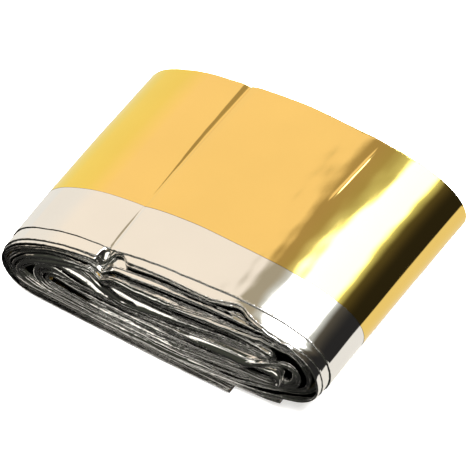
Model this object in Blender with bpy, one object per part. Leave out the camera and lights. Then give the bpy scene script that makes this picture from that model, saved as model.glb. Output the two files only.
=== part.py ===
import math

import bpy
import numpy as np

# One sheet of metallised film, fan-folded into a long strip.
# The strip is doubled, wound flat into a packet and laid down on its two free ends.

MM = 0.001

STRIP_LENGTH = 125.0 * MM
STRIP_BREADTH = 93.0 * MM

FLAP_END_LOWER = 90.8 * MM
FLAP_END_UPPER = 109.5 * MM
FLAT_FROM = 15.0 * MM

THICKNESS_LEAST = 0.85 * MM
THICKNESS_MOST = 2.4 * MM
AIR_GAP = 0.45 * MM
RESTING_BELOW = 0.5 * MM
PACKET_HEIGHT = 38.0 * MM

BEND_ROUNDNESS = 2.2
BEND_POINTS = 9
RUN_POINTS = 9
TURN_REACH = 9.0 * MM
MEASURING_STEPS = 3000
THINNING_SPREAD = 2
THICKNESS_EASING = 3
EDGE_EASING = 4

CREASE_AT = 38.5 * MM
CREASE_HALF_WIDTH = 2.6 * MM
CREASE_DEPTH = 0.7 * MM

FILM_COLOUR = (0.93, 0.66, 0.24, 1.0)
FILM_METALLIC = 0.9
FILM_ROUGHNESS = 0.1

# Heights of the boundaries between groups of layers, a row per station along the packet, in mm.
# under: underside of the lowest layer. low_wrap: top of the four lowest layers.
# low_core: top of the four layers above them. core: top of the two core layers.
# tongue: underside of the tucked tongue. wrap: underside of the four highest layers. crown: top.
STATION_COLUMNS = ("at", "under", "low_wrap", "low_core", "core", "tongue", "wrap", "crown")
STATIONS = np.array(
    [
        (0.0, 3.9, 11.1, 11.9, 12.3, 12.0, 11.4, 18.6),
        (4.0, 1.7, 9.1, 12.0, 12.8, 13.4, 13.7, 20.9),
        (8.0, 0.7, 8.2, 12.2, 13.5, 15.3, 16.0, 23.0),
        (14.0, 0.0, 7.6, 12.5, 14.9, 18.0, 19.4, 26.2),
        (22.0, 0.0, 7.4, 13.3, 16.6, 21.3, 23.2, 29.6),
        (31.0, 0.0, 7.4, 13.7, 17.0, 20.6, 25.0, 31.9),
        (38.0, 0.0, 7.4, 13.8, 17.0, 18.8, 25.2, 33.2),
        (50.0, 0.0, 7.5, 14.0, 17.2, 17.5, 25.4, 36.0),
        (66.0, 0.0, 7.9, 14.7, 17.9, 18.3, 26.0, 38.0),
        (80.0, 0.0, 9.0, 15.8, 19.0, 19.5, 26.4, 38.1),
        (94.0, 0.0, 11.0, 17.6, 20.6, 21.1, 26.8, 37.9),
        (104.0, 1.5, 12.8, 18.9, 21.6, 22.2, 27.0, 37.2),
        (112.0, 4.3, 14.4, 19.9, 22.4, 23.0, 26.9, 35.6),
        (119.0, 6.4, 16.4, 20.8, 22.5, 23.2, 25.8, 33.3),
        (125.0, 8.5, 18.0, 21.4, 22.8, 23.4, 24.8, 31.0),
    ]
)

# The layers of each stack, lowest first: the two boundaries they lie between,
# how many layers share that room, and which one this is.
LAYER_COLUMNS = ("name", "below", "above", "sharing", "place")
LAYERS = [
    ("low_0", "under", "low_wrap", 4, 0),
    ("low_1", "under", "low_wrap", 4, 1),
    ("low_2", "under", "low_wrap", 4, 2),
    ("low_3", "under", "low_wrap", 4, 3),
    ("low_4", "low_wrap", "low_core", 4, 0),
    ("low_5", "low_wrap", "low_core", 4, 1),
    ("low_6", "low_wrap", "low_core", 4, 2),
    ("low_7", "low_wrap", "low_core", 4, 3),
    ("core_1", "low_core", "core", 2, 0),
    ("core_2", "low_core", "core", 2, 1),
    ("tongue_1", "tongue", "wrap", 2, 0),
    ("tongue_2", "tongue", "wrap", 2, 1),
    ("high_3", "wrap", "crown", 4, 0),
    ("high_2", "wrap", "crown", 4, 1),
    ("high_1", "wrap", "crown", 4, 2),
    ("high_0", "wrap", "crown", 4, 3),
]

# The bends at the two round ends, a row per bend, in mm.
# side: -1 left, 1 right. tip: the bend's end. height: its middle. reach: its length along the packet.
BEND_COLUMNS = ("name", "side", "tip", "height", "reach", "lower", "upper")
BENDS = [
    ("left_0", -1, 0.95, 11.6, 9.0, "low_0", "high_0"),
    ("left_1", -1, 2.80, 11.6, 8.2, "low_1", "high_1"),
    ("left_2", -1, 4.65, 11.6, 7.4, "low_2", "high_2"),
    ("left_3", -1, 6.55, 11.7, 6.8, "low_3", "high_3"),
    ("left_4", -1, 16.6, 11.7, 6.0, "low_4", "core_2"),
    ("left_5", -1, 19.1, 11.8, 4.4, "low_5", "core_1"),
    ("left_6", -1, 36.0, 12.0, 2.6, "low_6", "low_7"),
    ("left_7", -1, 23.3, 22.7, 3.0, "tongue_1", "tongue_2"),
    ("right_0", 1, 124.0, 21.6, 9.0, "low_2", "high_0"),
    ("right_1", 1, 121.8, 21.7, 8.0, "low_3", "high_1"),
    ("right_2", 1, 119.5, 21.9, 7.0, "low_4", "high_2"),
    ("right_3", 1, 115.4, 20.3, 4.4, "low_5", "tongue_1"),
    ("right_4", 1, 109.0, 19.2, 3.2, "low_6", "core_2"),
    ("right_5", 1, 96.0, 17.8, 2.2, "low_7", "core_1"),
    ("right_6", 1, 106.5, 27.6, 2.4, "tongue_2", "high_3"),
]

# The strip's way through the packet, from its lower free end to its upper one.
# way: -1 towards the left end or down a bend, 1 towards the right end or up a bend.
# front, back: how far the layer's two folded edges fall short of the packet's full breadth, in mm.
PATH_COLUMNS = ("name", "way", "front", "back")
PATH = [
    ("low_0", -1, 2.2, 1.0),
    ("left_0", 1, 2.6, 0.6),
    ("high_0", 1, 4.2, 0.0),
    ("right_0", -1, 6.0, 1.4),
    ("low_2", -1, 1.0, 1.6),
    ("left_2", 1, 0.6, 1.8),
    ("high_2", 1, 1.6, 1.4),
    ("right_2", -1, 2.4, 0.8),
    ("low_4", -1, 0.8, 0.4),
    ("left_4", 1, 2.2, 0.9),
    ("core_2", 1, 1.4, 2.0),
    ("right_4", -1, 1.0, 1.5),
    ("low_6", -1, 0.0, 1.1),
    ("left_6", 1, 1.0, 2.2),
    ("low_7", 1, 1.8, 1.2),
    ("right_5", 1, 0.9, 2.0),
    ("core_1", -1, 0.2, 1.7),
    ("left_5", -1, 1.2, 0.7),
    ("low_5", 1, 1.7, 1.3),
    ("right_3", 1, 0.8, 2.4),
    ("tongue_1", -1, 0.3, 1.8),
    ("left_7", 1, 0.2, 2.0),
    ("tongue_2", 1, 1.5, 1.0),
    ("right_6", 1, 2.0, 1.6),
    ("high_3", -1, 2.3, 0.6),
    ("left_3", -1, 1.4, 1.2),
    ("low_3", 1, 0.5, 0.8),
    ("right_1", 1, 3.6, 1.4),
    ("high_1", -1, 2.2, 0.7),
    ("left_1", -1, 1.6, 1.0),
    ("low_1", 1, 2.8, 0.5),
]

# How the packet's section changes from the front folds to the back folds, a row per section.
# along: share of the breadth. length, height: scale of the section. sway: shift along the packet in mm.
SECTION_COLUMNS = ("along", "length", "height", "sway")
SECTIONS = np.array(
    [
        (0.00, 0.996, 0.960, 0.0),
        (0.05, 0.996, 0.985, 0.0),
        (0.30, 0.998, 1.000, -0.3),
        (0.60, 1.000, 1.000, -0.3),
        (0.85, 1.001, 0.988, -0.1),
        (1.00, 1.002, 0.974, 0.0),
    ]
)


def clear_scene():
    for item in list(bpy.data.objects):
        bpy.data.objects.remove(item, do_unlink=True)


def named_rows(columns, table):
    """The rows of a table by their names, each with its columns by theirs."""
    rows = [dict(zip(columns, row)) for row in table]
    return {row["name"]: row for row in rows}


LAYER = named_rows(LAYER_COLUMNS, LAYERS)
BEND = named_rows(BEND_COLUMNS, BENDS)


def smooth_curve(places, values, wanted):
    """A curve through a table that never overshoots it."""
    steps = np.diff(places)
    slopes = np.diff(values) / steps
    tangents = np.zeros(len(values))
    tangents[0] = slopes[0]
    tangents[-1] = slopes[-1]
    for index in range(1, len(values) - 1):
        before = slopes[index - 1]
        after = slopes[index]
        if before * after > 0:
            tangents[index] = 2.0 * before * after / (before + after)
    cell = np.clip(np.searchsorted(places, wanted) - 1, 0, len(steps) - 1)
    width = steps[cell]
    share = np.clip((wanted - places[cell]) / width, 0.0, 1.0)
    squared = share * share
    cubed = squared * share
    height = values[cell] * (2.0 * cubed - 3.0 * squared + 1.0)
    height += tangents[cell] * width * (cubed - 2.0 * squared + share)
    height += values[cell + 1] * (3.0 * squared - 2.0 * cubed)
    height += tangents[cell + 1] * width * (cubed - squared)
    return height


def boundary(name, at):
    column = STATION_COLUMNS.index(name)
    return smooth_curve(STATIONS[:, 0] * MM, STATIONS[:, column] * MM, at)


def layer_height(name, at):
    """Height of one layer's middle: its even share of the room between two boundaries."""
    layer = LAYER[name]
    low = boundary(layer["below"], at)
    high = boundary(layer["above"], at)
    return low + (high - low) * (layer["place"] + 0.5) / layer["sharing"]


def bend_points(name):
    """Points up one bend, from its lower layer round its tip to its upper layer."""
    bend = BEND[name]
    turn = np.linspace(-0.5 * math.pi, 0.5 * math.pi, BEND_POINTS)
    inward = 1.0 - np.abs(np.cos(turn)) ** (2.0 / BEND_ROUNDNESS)
    swing = np.abs(np.sin(turn)) ** (2.0 / BEND_ROUNDNESS)
    at = (bend["tip"] - bend["side"] * bend["reach"] * inward) * MM
    middle = bend["height"] * MM
    rising = middle + (layer_height(bend["upper"], at) - middle) * swing
    falling = middle + (layer_height(bend["lower"], at) - middle) * swing
    level = np.where(turn > 0.0, rising, falling)
    return at, level


def bend_mouth(name):
    """Where a bend meets the layers it joins."""
    bend = BEND[name]
    return (bend["tip"] - bend["side"] * bend["reach"]) * MM


def run_points(name, start, end):
    """Points along one layer between the bends before and after it."""
    at = np.linspace(start, end, RUN_POINTS + 2)
    return at, layer_height(name, at)


def follow_path():
    """The strip's middle line, with each point's short fall at the front and at the back."""
    lengthwise = []
    upright = []
    front = []
    back = []
    last = len(PATH) - 1
    for index, (name, way, front_short, back_short) in enumerate(PATH):
        if name in BEND:
            at, level = bend_points(name)
            at = at[::way]
            level = level[::way]
        else:
            start = bend_mouth(PATH[index - 1][0]) if index > 0 else FLAP_END_LOWER
            end = bend_mouth(PATH[index + 1][0]) if index < last else FLAP_END_UPPER
            at, level = run_points(name, start, end)
            inner = slice(1 if index > 0 else 0, -1 if index < last else None)
            at = at[inner]
            level = level[inner]
        lengthwise.append(at)
        upright.append(level)
        front.append(np.full(len(at), front_short * MM))
        back.append(np.full(len(at), back_short * MM))
    return tuple(np.concatenate(part) for part in (lengthwise, upright, front, back))


def eased(values, times):
    """Values evened out along the strip, with its two ends kept."""
    result = values.copy()
    for _ in range(times):
        middle = 0.25 * result[:-2] + 0.5 * result[1:-1] + 0.25 * result[2:]
        result[1:-1] = middle
    return result


def clearance(at, level):
    """Distance from each point of the middle line to the nearest other layer."""
    travelled = np.append(0.0, np.cumsum(np.hypot(np.diff(at), np.diff(level))))
    fine = np.linspace(0.0, travelled[-1], MEASURING_STEPS)
    fine_at = np.interp(fine, travelled, at)
    fine_level = np.interp(fine, travelled, level)
    apart = np.hypot(at[:, None] - fine_at[None, :], level[:, None] - fine_level[None, :])
    near_along = np.abs(travelled[:, None] - fine[None, :]) < TURN_REACH
    apart[near_along] = 1.0
    return apart.min(axis=1)


def layer_thickness(at, level):
    """As thick as the room between layers allows, thinning only where it narrows."""
    room = clearance(at, level) - AIR_GAP
    thick = np.clip(room, THICKNESS_LEAST, THICKNESS_MOST)
    padded = np.pad(thick, THINNING_SPREAD, mode="edge")
    lowest = thick.copy()
    for offset in range(2 * THINNING_SPREAD + 1):
        lowest = np.minimum(lowest, padded[offset : offset + len(thick)])
    return np.minimum(eased(lowest, THICKNESS_EASING), thick)


def side_lines(at, level, thick):
    """The strip's two faces, half its thickness either side of the middle line."""
    along = np.gradient(at)
    up = np.gradient(level)
    size = np.hypot(along, up)
    across_at = -up / size * thick * 0.5
    across_level = along / size * thick * 0.5
    outer = (at + across_at, level + across_level)
    inner = (at - across_at, level - across_level)
    return outer, inner


def settle(at, level):
    """The underside rests flat: nothing of it is below the surface it lies on."""
    resting = (at > FLAT_FROM) & (level < RESTING_BELOW)
    return np.where(resting, 0.0, np.maximum(level, 0.0))


def creased(at, level):
    """A shallow trough across the packet, deepest in the highest layers."""
    spread = (at - CREASE_AT) / CREASE_HALF_WIDTH
    share = level / PACKET_HEIGHT
    return level - CREASE_DEPTH * np.exp(-spread * spread) * share * share


def place_points(face, front, back, section):
    """One face's line of points in one section, front to back."""
    at, level = face
    share, length, height, sway = section
    level = creased(at, settle(at, level))
    lengthwise = (at - 0.5 * STRIP_LENGTH) * length + sway * MM
    front_edge = -0.5 * STRIP_BREADTH + front
    back_edge = 0.5 * STRIP_BREADTH - back
    across = front_edge + (back_edge - front_edge) * share
    return np.column_stack([lengthwise, across, level * height])


def build_blanket():
    at, level, front, back = follow_path()
    front = eased(front, EDGE_EASING)
    back = eased(back, EDGE_EASING)
    thick = layer_thickness(at, level)
    faces = side_lines(at, level, thick)
    points = [place_points(face, front, back, section) for face in faces for section in SECTIONS]
    vertices = np.concatenate(points)
    count = len(at)
    rows = len(SECTIONS)
    second = count * rows
    quads = []
    for row in range(rows - 1):
        for index in range(count - 1):
            first = row * count + index
            above = first + count
            quads.append((first, first + 1, above + 1, above))
            quads.append((second + first, second + above, second + above + 1, second + first + 1))
    for index in range(count - 1):
        far = (rows - 1) * count + index
        quads.append((index, second + index, second + index + 1, index + 1))
        quads.append((far, far + 1, second + far + 1, second + far))
    for row in range(rows - 1):
        start = row * count
        finish = start + count - 1
        quads.append((start, start + count, second + start + count, second + start))
        quads.append((finish, second + finish, second + finish + count, finish + count))
    mesh = bpy.data.meshes.new("foil_blanket")
    mesh.from_pydata(vertices.tolist(), [], quads)
    mesh.validate()
    mesh.update()
    for polygon in mesh.polygons:
        polygon.use_smooth = True
    blanket = bpy.data.objects.new("foil_blanket", mesh)
    bpy.context.scene.collection.objects.link(blanket)
    return blanket


def film_material():
    material = bpy.data.materials.new("gold_film")
    material.use_nodes = True
    shader = material.node_tree.nodes["Principled BSDF"]
    shader.inputs["Base Color"].default_value = FILM_COLOUR
    shader.inputs["Metallic"].default_value = FILM_METALLIC
    shader.inputs["Roughness"].default_value = FILM_ROUGHNESS
    return material


clear_scene()
blanket = build_blanket()
blanket.data.materials.append(film_material())
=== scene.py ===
import math

import bpy
import numpy as np
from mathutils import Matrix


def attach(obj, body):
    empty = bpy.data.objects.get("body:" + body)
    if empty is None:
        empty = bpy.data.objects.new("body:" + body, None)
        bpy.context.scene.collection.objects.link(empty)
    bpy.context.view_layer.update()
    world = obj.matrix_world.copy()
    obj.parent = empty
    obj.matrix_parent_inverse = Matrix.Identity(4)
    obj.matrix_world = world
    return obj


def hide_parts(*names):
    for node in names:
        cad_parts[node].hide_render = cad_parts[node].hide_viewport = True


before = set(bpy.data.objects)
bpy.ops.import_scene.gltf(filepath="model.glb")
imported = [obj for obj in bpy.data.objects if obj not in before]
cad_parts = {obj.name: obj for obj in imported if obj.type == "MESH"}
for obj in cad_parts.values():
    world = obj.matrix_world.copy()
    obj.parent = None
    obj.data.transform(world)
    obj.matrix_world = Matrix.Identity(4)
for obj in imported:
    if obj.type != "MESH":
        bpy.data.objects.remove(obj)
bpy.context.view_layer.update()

mm = 0.001

# how the folded strip is wound: a section across the packet
winding = {
    # boundaries between groups of layers, in mm: place along the packet, then heights
    "boundaryNames": ("under", "lowWrap", "lowCore", "core", "tongue", "wrap", "crown"),
    "stations": [
        (0, 3.9, 11.1, 11.9, 12.3, 12, 11.4, 18.6),
        (4, 1.7, 9.1, 12, 12.8, 13.4, 13.7, 20.9),
        (8, 0.7, 8.2, 12.2, 13.5, 15.3, 16, 23),
        (14, 0, 7.6, 12.5, 14.9, 18, 19.4, 26.2),
        (22, 0, 7.4, 13.3, 16.6, 21.3, 23.2, 29.6),
        (31, 0, 7.4, 13.7, 17, 20.6, 25, 31.9),
        (38, 0, 7.4, 13.8, 17, 18.8, 25.2, 33.2),
        (50, 0, 7.5, 14, 17.2, 17.5, 25.4, 36),
        (66, 0, 7.9, 14.7, 17.9, 18.3, 26, 38),
        (80, 0, 9, 15.8, 19, 19.5, 26.4, 38.1),
        (94, 0, 11, 17.6, 20.6, 21.1, 26.8, 37.9),
        (104, 1.5, 12.8, 18.9, 21.6, 22.2, 27, 37.2),
        (112, 4.3, 14.4, 19.9, 22.4, 23, 26.9, 35.6),
        (119, 6.4, 16.4, 20.8, 22.5, 23.2, 25.8, 33.3),
        (125, 8.5, 18, 21.4, 22.8, 23.4, 24.8, 31),
    ],
    # room between two boundaries, and the layers that share it evenly, from below
    "rooms": [
        ("under", "lowWrap", ("low0", "low1", "low2", "low3")),
        ("lowWrap", "lowCore", ("low4", "low5", "low6", "low7")),
        ("lowCore", "core", ("core1", "core2")),
        ("tongue", "wrap", ("tongue1", "tongue2")),
        ("wrap", "crown", ("high3", "high2", "high1", "high0")),
    ],
    # the strip's way: layer, short fall of its front and back edge, then the bend after it: side
    # (-1 left, 1 right), tip, middle height, reach and its own short falls
    "path": [
        ("low0", 2.2, 1, -1, 0.95, 11.6, 9, 2.6, 0.6),
        ("high0", 4.2, 0, 1, 124, 21.6, 9, 6, 1.4),
        ("low2", 1, 1.6, -1, 4.65, 11.6, 7.4, 0.6, 1.8),
        ("high2", 1.6, 1.4, 1, 119.5, 21.9, 7, 2.4, 0.8),
        ("low4", 0.8, 0.4, -1, 16.6, 11.7, 6, 2.2, 0.9),
        ("core2", 1.4, 2, 1, 109, 19.2, 3.2, 1, 1.5),
        ("low6", 0, 1.1, -1, 36, 12, 2.6, 1, 2.2),
        ("low7", 1.8, 1.2, 1, 96, 17.8, 2.2, 0.9, 2),
        ("core1", 0.2, 1.7, -1, 19.1, 11.8, 4.4, 1.2, 0.7),
        ("low5", 1.7, 1.3, 1, 115.4, 20.3, 4.4, 0.8, 2.4),
        ("tongue1", 0.3, 1.8, -1, 23.3, 22.7, 3, 0.2, 2),
        ("tongue2", 1.5, 1, 1, 106.5, 27.6, 2.4, 2, 1.6),
        ("high3", 2.3, 0.6, -1, 6.55, 11.7, 6.8, 1.4, 1.2),
        ("low3", 0.5, 0.8, 1, 121.8, 21.7, 8, 3.6, 1.4),
        ("high1", 2.2, 0.7, -1, 2.80, 11.6, 8.2, 1.6, 1),
        ("low1", 2.8, 0.5),
    ],
    # sections across the breadth: share of it, length scale, height scale, sway in mm
    "sections": [
        (0.00, 0.996, 0.960, 0), (0.05, 0.996, 0.985, 0), (0.30, 0.998, 1.000, -0.3),
        (0.60, 1.000, 1.000, -0.3), (0.85, 1.001, 0.988, -0.1), (1.00, 1.002, 0.974, 0),
    ],
    "length": 125.0, "breadth": 93.0,
    "lowerEnd": 90.8, "upperEnd": 109.5,  # places of the two free ends
    "roundness": 2.2,  # power of the bends' superellipses
    "bendSteps": 33, "layerSteps": 60,
}
# the middle line: lengths in mm, widths of smoothing in steps
lineRule = {
    "step": 0.5, "softWidth": 4.5, "crispWidth": 0.8, "edgeWidth": 16.0,
    "outsideEnd": 300.0, "outsideFade": 6.0,
    "ownLength": 9.0,  # how much of the line counts as a point's own layer
}
halfLength, halfBreadth = 0.5 * winding["length"], 0.5 * winding["breadth"]
stationTable = np.array(winding["stations"])
layerRooms = {
    name: (below, above, len(names), place)
    for below, above, names in winding["rooms"]
    for place, name in enumerate(names)
}


# a soft switch, the logistic curve: 0 well before a place and 1 well after it
def softSwitch(values, place, width):
    return 1.0 / (1.0 + np.exp(-(values - place) / width))


# one value drawn towards another by a share of their difference
def blend(first, second, share):
    return first + (second - first) * share


# cubic Hermite curve through a table, its slopes the harmonic means of the chords on each side
def smoothCurve(places, values, wanted):
    steps = np.diff(places)
    chords = np.diff(values) / steps
    slopes = np.concatenate([chords[:1], np.zeros(len(values) - 2), chords[-1:]])
    before, after = chords[:-1], chords[1:]
    same = before * after > 0
    safe = np.where(same, before + after, 1.0)
    slopes[1:-1] = np.where(same, 2.0 * before * after / safe, 0.0)
    cell = np.clip(np.searchsorted(places, wanted) - 1, 0, len(steps) - 1)
    width = steps[cell]
    t = np.clip((wanted - places[cell]) / width, 0.0, 1.0)
    return (
        values[cell] * (2 * t**3 - 3 * t**2 + 1)
        + slopes[cell] * width * (t**3 - 2 * t**2 + t)
        + values[cell + 1] * (3 * t**2 - 2 * t**3)
        + slopes[cell + 1] * width * (t**3 - t**2)
    )


# a table's other columns, each as a curve through the places in its first
def tableCurves(table, wanted, curve=smoothCurve):
    places, *columns = np.array(table).T
    return [curve(places, column, wanted) for column in columns]


# straight lines between the values of a table
def straightLines(places, values, wanted):
    return np.interp(wanted, places, values)


# height of a boundary at places along the packet: the smooth curve through its column
def boundaryAt(name, at):
    column = 1 + winding["boundaryNames"].index(name)
    return smoothCurve(stationTable[:, 0], stationTable[:, column], at)


# height of a layer's middle: its even share of the room between its two boundaries
def layerAt(name, at):
    below, above, sharing, place = layerRooms[name]
    low, high = boundaryAt(below, at), boundaryAt(above, at)
    return low + (high - low) * (place + 0.5) / sharing


# points round one bend: a superellipse from one layer round the tip to the other
def bendPoints(side, tip, height, reach, layers):
    mouth = tip - side * reach
    way = 1 if layerAt(layers[0], mouth) < layerAt(layers[1], mouth) else -1
    lower, upper = layers[::way]
    turn = np.linspace(-0.5 * math.pi, 0.5 * math.pi, winding["bendSteps"])
    inward = 1.0 - np.abs(np.cos(turn)) ** (2.0 / winding["roundness"])
    swing = np.abs(np.sin(turn)) ** (2.0 / winding["roundness"])
    at = tip - side * reach * inward
    goal = np.where(turn > 0.0, layerAt(upper, at), layerAt(lower, at))
    return at[::way], blend(height, goal, swing)[::way]


# the strip's middle line: layers and bends joined in order, with its edges' short falls
def followPath():
    path, start, parts = winding["path"], winding["lowerEnd"], []
    for index, (layer, frontShort, backShort, *bend) in enumerate(path):
        end = bend[1] - bend[0] * bend[3] if bend else winding["upperEnd"]
        at = np.linspace(start, end, winding["layerSteps"])
        inner = slice(1 if index > 0 else 0, -1 if bend else None)
        parts.append((at[inner], layerAt(layer, at)[inner], frontShort, backShort))
        if bend:
            layers = (layer, path[index + 1][0])
            parts.append((*bendPoints(*bend[:4], layers), *bend[4:]))
            start = end
    return np.concatenate([np.stack(np.broadcast_arrays(*part)) for part in parts], axis=1)


# running mean weighted by a bell, its width in steps. Each end is turned about its last point
def bellSmooth(values, width):
    if width < 0.3:
        return values
    reach = int(4 * width) + 1
    bell = np.exp(-0.5 * (np.arange(-reach, reach + 1) / width) ** 2)
    bell /= bell.sum()
    head = 2 * values[..., :1] - values[..., reach:0:-1]
    tail = 2 * values[..., -1:] - values[..., -2 : -reach - 2 : -1]
    padded = np.concatenate([head, values, tail], axis=-1)
    flat = padded.reshape(-1, padded.shape[-1])
    done = np.stack([np.convolve(row, bell, mode="valid") for row in flat])
    return done.reshape(values.shape)


# the middle line at even steps: soft where it shows outside, crisp at the inner turns
def evenMiddleLine():
    at, level, frontShort, backShort = followPath()
    travelled = np.append(0.0, np.cumsum(np.hypot(np.diff(at), np.diff(level))))
    even = np.arange(0.0, travelled[-1], lineRule["step"])
    rows = (at, level, frontShort, backShort)
    line = np.stack([np.interp(even, travelled, row) for row in rows])
    soft = bellSmooth(line[:2], lineRule["softWidth"])
    crisp = bellSmooth(line[:2], lineRule["crispWidth"])
    outside = softSwitch(-even, -lineRule["outsideEnd"], lineRule["outsideFade"])
    line[:2] = blend(crisp, soft, outside)
    line[2:] = bellSmooth(line[2:], lineRule["edgeWidth"])
    return even, line


# distance from each point of the middle line to the nearest other layer
def roomAround(even, at, level):
    coarse = slice(None, None, 2)
    apart = np.hypot(at[:, None] - at[None, coarse], level[:, None] - level[None, coarse])
    apart[np.abs(even[:, None] - even[None, coarse]) < lineRule["ownLength"]] = np.inf
    return apart.min(axis=1)


travel, middleLine = evenMiddleLine()
stripLength = travel[-1]
lineAt, lineLevel, frontShort, backShort = middleLine
slopeAt, slopeLevel = np.gradient(lineAt), np.gradient(lineLevel)
slopeSize = np.hypot(slopeAt, slopeLevel)
normalAt, normalLevel = -slopeLevel / slopeSize, slopeAt / slopeSize
room = roomAround(travel, lineAt, lineLevel)
print("middle line:", len(travel), "points,", round(float(stripLength)), "mm long")

# the sheet's fan folds, in mm
folds = {
    # each leaf's place in the stack, in their order: folded in half three times, twice over
    "stackOrder": (
        0, 1, 8, 5, 4, 3, 6, 7, 2, 9, 16, 13, 12, 11, 14, 15, 10, 17, 22, 19, 20, 21, 18,
    ),
    "filmThickness": 0.012, "leafBreadth": 90.0, "leastGap": 0.026, "seed": 7,
    # free edges: how far the first leaf stops short, its sine, depth of the last one's, rounding
    "freeEdge": 29.8, "freeSway": (0.2, 17.0), "lastEdge": 36.0, "freeReach": 0.5,
    # run where the outer turn ends, run to which its leaves hide each other, how softly
    "outerTurn": (290.0, 8.0), "crownUntil": (275.0, 2.0),
    # a turn's room and the air between two; widths of smoothing in steps
    "airBetween": 0.2, "leastRoom": 1.0, "mostRoom": 3.3, "moreInside": 1.3,
    "roomSmooth": 5.0, "bundleSmooth": 6.0,
    # share of the room filled: mean, drift, span. How far a turn lies aside: drift, span
    "swell": (0.86, 0.12, 26.0), "outerSwell": 0.92, "thickest": 3.6, "outerThickest": 2.0,
    "aside": (0.45, 40.0), "outerAside": 0.5,
    # the single gaps' drift and span; gap and span of bundles next to the single ones'
    "gapDrift": (0.25, 60.0), "bundleGap": 1.8, "bundleSpan": 1.6, "outerTogether": 0.96,
    # depth of a fold's rounding next to half its thickness, and its drift and span
    "foldDepth": 1.3, "foldDepthDrift": (0.38, 16.0), "leastHalf": 0.04,
    # how far a fold lies inside its bundle's: next to that depth, and in mm
    "nesting": 1.25, "nestedBehind": 0.14,
    # the lowest turns: height and how softly it ends, then what is different there
    "underneath": (5.5, 0.8), "lowerDeeper": 2.4, "lowerShares": (0.12, 2.4, 0.3),
    "lowerEvenness": 0.7,
    # how much deeper thin bundles lie, up to which thickness; drifts as height and span
    "thinDeeper": 2.6, "thinBelow": 0.34, "mostForward": 0.6,
    "unevenEdges": ((0.15, 50.0), (0.07, 9.0), (0.04, 3.0)),
    "unevenOuter": ((0.12, 14.0), (0.04, 3.0)),
    # how far the front's and the back's own gaps reach, and with which power they end
    "frontBlend": 30.0, "backBlend": 22.0, "blendPower": 0.8,
    # place in the stack of the leaves that show on the crown, and where each goes under
    "shownTo": {0: 60.0, 1: -14.5, 9: -35.5, 17: -35.5}, "shownFade": 0.4,
    # how much lower hidden leaves lie, from which depth, how softly; from which run, how softly
    "lowered": (0.03, -42.0, 1.5), "loweredAtEnd": (0.1, -38.0, 2.0, 228.0, 4.0),
    "fromFoldMost": 20.0,  # largest distance from a fold that is kept
    # how far the three front bundles lie back on the outer turn: run, then each
    "outerFronts": [
        (0, 1.9, 1.2, 0.9), (70, 2.2, 1.2, 0.8), (88, 6.5, 2.6, 1.4), (103, 10.3, 4.4, 2.8),
        (119, 9.7, 4.6, 3.2), (139, 9.4, 4.6, 3.4), (143.2, 9.2, 5.4, 4.6), (145.6, 9, 8.2, 7.8),
        (148.4, 8.8, 8.4, 8), (151.4, 8.9, 6, 5.4), (158, 9.2, 6, 5.4), (172, 9.8, 6, 5.6),
        (183, 10.4, 6.2, 5.8), (189, 10.8, 8, 7.4), (193.5, 11, 9.2, 8.6), (198, 11.2, 7.4, 6.8),
        (206, 11.4, 6, 5.2), (214, 11.6, 6.2, 5.2), (222, 11.2, 7, 4.6), (235, 9.7, 5.6, 3.2),
        (262, 6, 3.4, 2), (290, 2.4, 1.6, 1.2), (2000, 2.4, 1.6, 1.2),
    ],
    # where a turn is open on one side: run, half width, swelling at the edges and in the middle,
    # and the side
    "openPlaces": [
        (1281, 20, 3.6, 5, 1), (601, 10, 2.4, 5, 1), (1003, 9, 1, 2.4, 1), (695, 9, 0.8, 2.4, 1),
    ],
    # how far the folds of the inner turns lie back: run, mm
    "innerFronts": [
        (290, 1.2), (345, 0.6), (365, 0.8), (385, 1.8), (410, 1.3), (430, 1.2), (447, 2.4),
        (465, 4.2), (474, 5), (484, 4.2), (500, 2.2), (520, 0.8), (580, 0.8), (600, 2.4),
        (615, 2.2), (640, 1.4), (690, 1.2), (705, 0.8), (725, 0.2), (762, 0.3), (780, 1.4),
        (800, 1.8), (825, 1), (845, 0.3), (892, 0.6), (906, 1.8), (925, 1.2), (985, 1), (1000, 2.2),
        (1012, 5), (1028, 0), (1042, 0.3), (1085, 0.3), (1098, 0.6), (1108, 2.5), (1130, -0.5),
        (1143, 0.6), (1160, 2.2), (1172, 3.3), (1186, 2.8), (1200, 3.8), (1220, 3.2), (1245, 2.6),
        (1262, 2), (1282, 1.4), (1302, 0.7), (1380, 1), (1400, 3.4), (1420, 5.2), (1440, 5.4),
        (1460, 4.8), (1480, 3.5), (1494, 2.8), (1520, 2), (1542, 1.6), (1562, 2.6), (1660, 2.8),
    ],
    # thickness of the three front bundles next to each other: run, then each
    "outerShares": [
        (0, 1, 1, 1), (62, 0.4, 1, 1), (70, 0.02, 0.6, 1.2), (104, 0.02, 0.6, 1.2),
        (114, 0.02, 0.9, 1), (138, 0.02, 0.9, 1), (150, 0.3, 0.7, 1), (190, 0.25, 0.7, 1.2),
        (206, 0.10, 0.5, 1.6), (222, 0.02, 0.02, 2), (240, 0.02, 0.02, 2), (290, 1, 1, 1),
        (2000, 1, 1, 1),
    ],
}
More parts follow.
